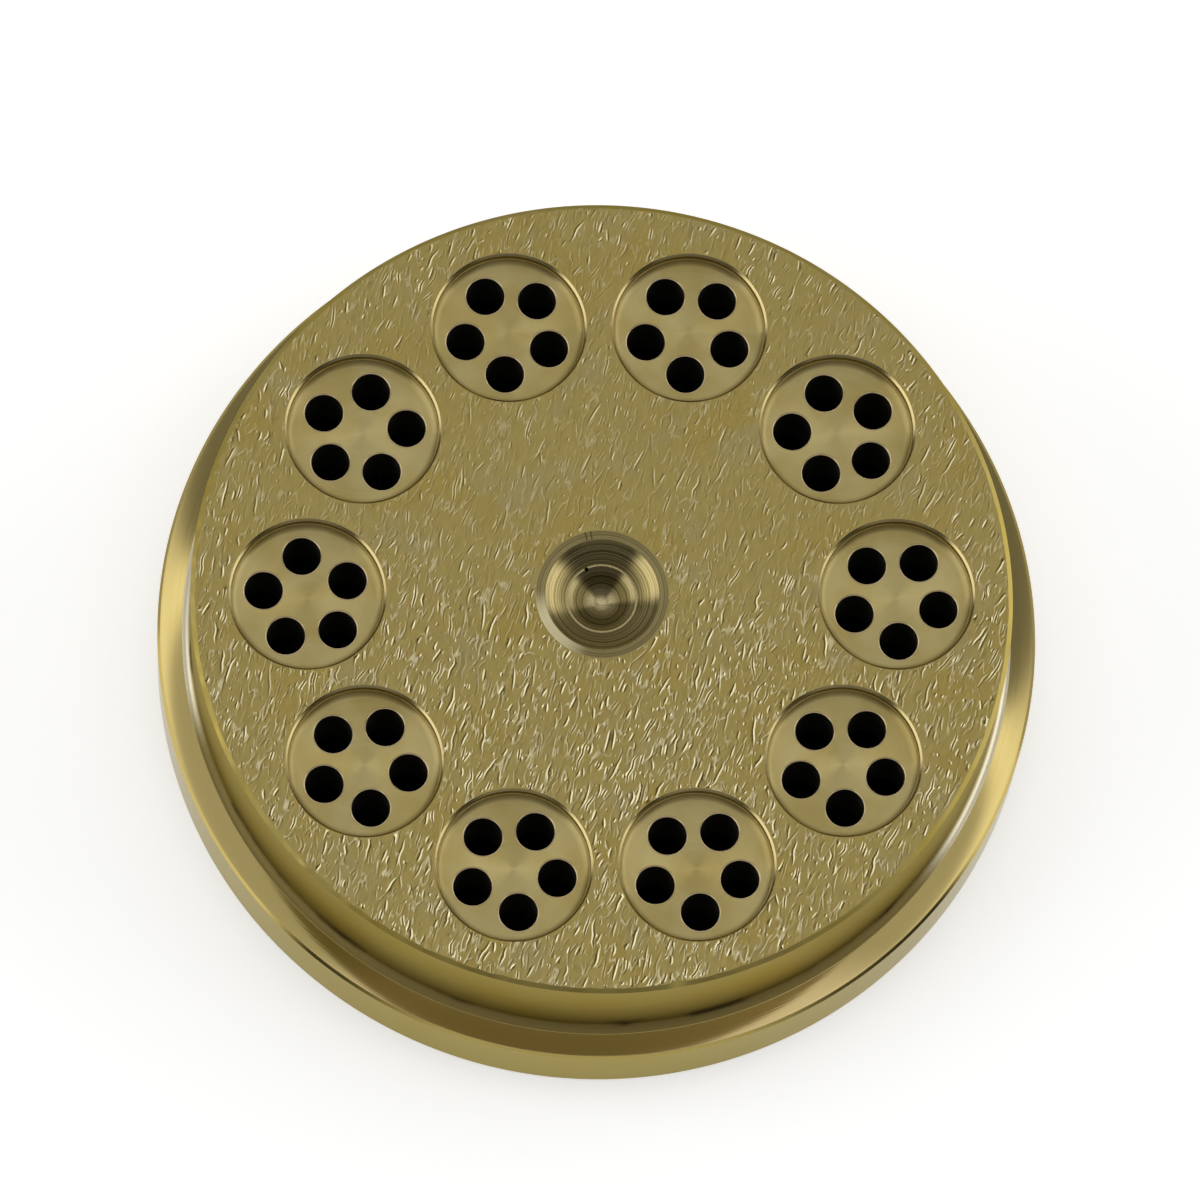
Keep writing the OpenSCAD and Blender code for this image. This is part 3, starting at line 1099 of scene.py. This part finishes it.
def seen_share(tree):
    """1 for rays that see the floor straight, in a reflection or through something clear."""
    path = add(tree, "ShaderNodeLightPath")
    seen = math_node(tree, "MAXIMUM", path.outputs["Is Camera Ray"], path.outputs["Is Glossy Ray"])
    return math_node(tree, "MAXIMUM", seen, path.outputs["Is Transmission Ray"])


def floor_material():
    """Matt white that keeps the shadow and glows where it is seen; painted black under the die as shadow,
    clear from below.
    """
    material, tree, shader = new_material("floor")
    tree.nodes.remove(shader)
    open_floor = map_range(tree, axis_distance(tree, millimetres(tree)), *FLOOR_OPEN)
    # Black under the die is a painted shadow
    colour = mix_colour(tree, open_floor, SHADE_AND_SPECK_BLACK, FLOOR_COLOUR)
    matt = add(tree, "ShaderNodeBsdfDiffuse", {"Color": colour}).outputs[0]
    strength = multiply(tree, multiply(tree, seen_share(tree), open_floor), FLOOR_GLOW)
    glow = add(tree, "ShaderNodeEmission", {"Strength": strength}).outputs[0]
    both = add(tree, "ShaderNodeAddShader", {0: matt, 1: glow}).outputs[0]
    clear = add(tree, "ShaderNodeBsdfTransparent").outputs[0]
    under = add(tree, "ShaderNodeNewGeometry").outputs["Backfacing"]
    sides = add(tree, "ShaderNodeMixShader", {0: under, 1: both, 2: clear}).outputs[0]
    tree.links.new(sides, tree.nodes["Material Output"].inputs["Surface"])
    return material


def make_floor():
    """A wide flat floor just under the die."""
    square = ((-1, -1), (1, -1), (1, 1), (-1, 1))
    corners = [(x * FLOOR_HALF, y * FLOOR_HALF, -FLOOR_DROP * MM) for x, y in square]
    mesh = bpy.data.meshes.new("floor")
    mesh.from_pydata(corners, [], [(0, 1, 2, 3)])
    mesh.materials.append(floor_material())
    floor = bpy.data.objects.new("floor", mesh)
    bpy.context.collection.objects.link(floor)


# Studio light, as radiance: a dim room, a dome that is brighter overhead, a softbox above with a bright
# strip along its back, a panel at each side, a pale backdrop and a weak strip low at the front
ROOM_LIGHT = 0.07
DOME_LIGHT = 0.44
SOFTBOX_LIGHT = 0.9
STRIP_LIGHT = 2.4
PANEL_LIGHT = 2.2
BACK_LIGHT = 0.62
FRONT_LIGHT = 0.5
# Where the softbox ends at the back and fades out at the front, and where the strip begins, as slopes back
# from the upright, with a little of X
SOFTBOX_SKEW = 0.2
SOFTBOX_BACK = (0.311, 0.302)
SOFTBOX_FRONT = (-0.5, 0.0)
STRIP_FRONT = (0.275, 0.289)
# Parts of a direction over which the lights come in or go out
LEAST_RISE = 0.01
SOFTBOX_SIDES = (0.7, 0.35)
DOME_RISE = (0.65, 0.97)
PANEL_OUT = (0.5, 0.75)
PANEL_RISE = (0.8, 0.5)
PANEL_WIDTH = (0.55, 0.35)
PANEL_SKEW = 0.12
BACK_OUT = (0.3, 0.6)
BACK_RISE = (0.2, 0.34)
FRONT_OUT = (-0.7, -0.92)
FRONT_RISE = (0.38, 0.22)


def softbox(tree, x, y, z):
    """Level of the softbox in a direction: sharp at the back, soft at the front and towards the sides."""
    askew = plus(tree, y, multiply(tree, x, SOFTBOX_SKEW))
    slope = math_node(tree, "DIVIDE", askew, math_node(tree, "MAXIMUM", z, LEAST_RISE))
    back = map_range(tree, slope, *SOFTBOX_BACK)
    front = map_range(tree, slope, *SOFTBOX_FRONT)
    middle = map_range(tree, math_node(tree, "ABSOLUTE", x), *SOFTBOX_SIDES)
    strip = multiply(tree, map_range(tree, slope, *STRIP_FRONT), STRIP_LIGHT)
    level = plus(tree, multiply(tree, front, SOFTBOX_LIGHT), strip)
    return multiply(tree, multiply(tree, back, level), middle)


def panels(tree, x, y, z):
    """Share of the side panels in a direction: the right one stands a little further back."""
    out = map_range(tree, math_node(tree, "ABSOLUTE", x), *PANEL_OUT)
    out = multiply(tree, out, map_range(tree, z, *PANEL_RISE))
    turned = math_node(tree, "SUBTRACT", y, multiply(tree, x, PANEL_SKEW))
    return multiply(tree, out, map_range(tree, math_node(tree, "ABSOLUTE", turned), *PANEL_WIDTH))


def make_light():
    """Soft light from above and from both sides; the background is white to the camera."""
    world = bpy.data.worlds.new("studio")
    bpy.context.scene.world = world
    world.use_nodes = True
    tree = world.node_tree
    way = add(tree, "ShaderNodeTexCoord").outputs["Generated"]
    x, y, z = separate(tree, way)
    backdrop = map_range(tree, z, *BACK_RISE, 0.0, BACK_LIGHT)
    low = map_range(tree, z, *FRONT_RISE, 0.0, FRONT_LIGHT)
    level = map_range(tree, z, *DOME_RISE, ROOM_LIGHT, ROOM_LIGHT + DOME_LIGHT)
    level = plus(tree, level, softbox(tree, x, y, z))
    level = plus(tree, level, multiply(tree, panels(tree, x, y, z), PANEL_LIGHT))
    level = plus(tree, level, multiply(tree, map_range(tree, y, *BACK_OUT), backdrop))
    level = plus(tree, level, multiply(tree, map_range(tree, y, *FRONT_OUT), low))
    seen = add(tree, "ShaderNodeLightPath").outputs["Is Camera Ray"]
    hidden = math_node(tree, "SUBTRACT", 1.0, seen)
    level = plus(tree, multiply(tree, level, hidden), seen)
    tree.links.new(level, tree.nodes["Background"].inputs["Strength"])
    tree.nodes["Background"].inputs["Color"].default_value = (1, 1, 1, 1)


scene = bpy.context.scene
scene.view_settings.view_transform = "Standard"
make_camera()
make_floor()
make_light()
dressed = make_body()
paint(dressed)
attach(dressed, "root")
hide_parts("die_body")

bpy.context.view_layer.update()
